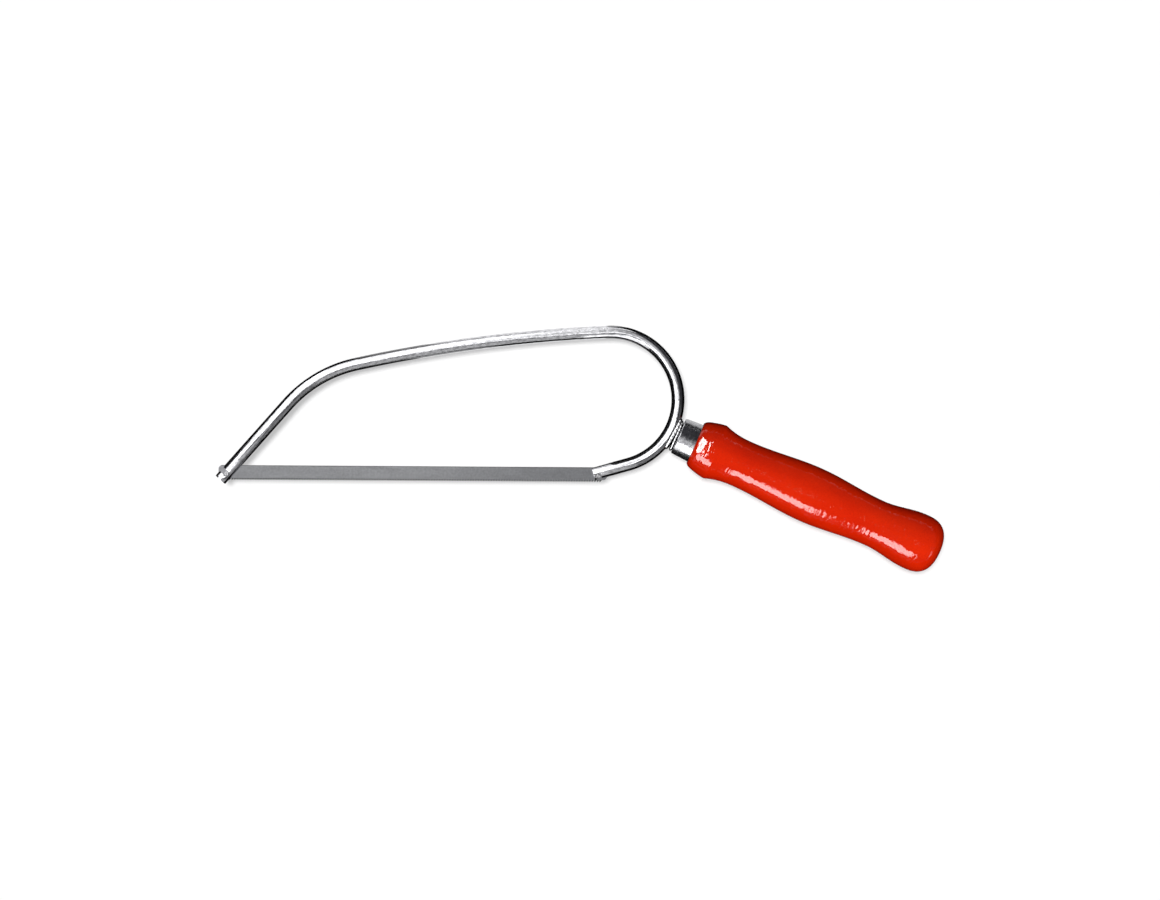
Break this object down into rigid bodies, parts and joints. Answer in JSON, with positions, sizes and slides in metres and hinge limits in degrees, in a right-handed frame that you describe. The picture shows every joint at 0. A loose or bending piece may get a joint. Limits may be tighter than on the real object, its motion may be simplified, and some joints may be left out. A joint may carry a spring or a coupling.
{
  "type": "mini hacksaw",
  "caption": "Small bow hacksaw: a bent spring-steel rod bow, a pinned fine-tooth blade held by the bow's tension, and a turned red handle on a welded tang behind a steel ferrule.",
  "frame": {"origin": "middle of the underside of the saw's box, with the saw lying on its side and its plane level", "axes": "+X along the blade from the nose to the handle, +Y from the teeth towards the back of the bow, +Z square to the plane of the saw, upwards"},
  "size_m": [0.2812, 0.0942, 0.0225],
  "materials": {
    "plated_steel": "bright plated steel rod",
    "blade_steel": "hardened strip, fine rolled grain",
    "pin_steel": "bright drawn wire",
    "weld_steel": "plated weld metal",
    "tang_steel": "plain drawn steel",
    "ferrule_steel": "bright plated drawn cup",
    "red_lacquer": "turned hardwood under gloss red lacquer"
  },
  "bodies": {
    "frame": {"bow": "plated_steel", "weld_bead": "weld_steel", "tang": "tang_steel", "ferrule": "ferrule_steel", "handle": "red_lacquer"},
    "blade": {"saw_blade": "blade_steel", "front_blade_pin": "pin_steel", "rear_blade_pin": "pin_steel"}
  },
  "joints": [
    {"name": "blade_swing", "type": "hinge", "parent": "frame", "child": "blade", "pos_m": [0.00714, -0.01095, 0.01125], "axis": [0, 0, 1], "range_deg": [0, 90], "deforming": ["bow"]}
  ]
}
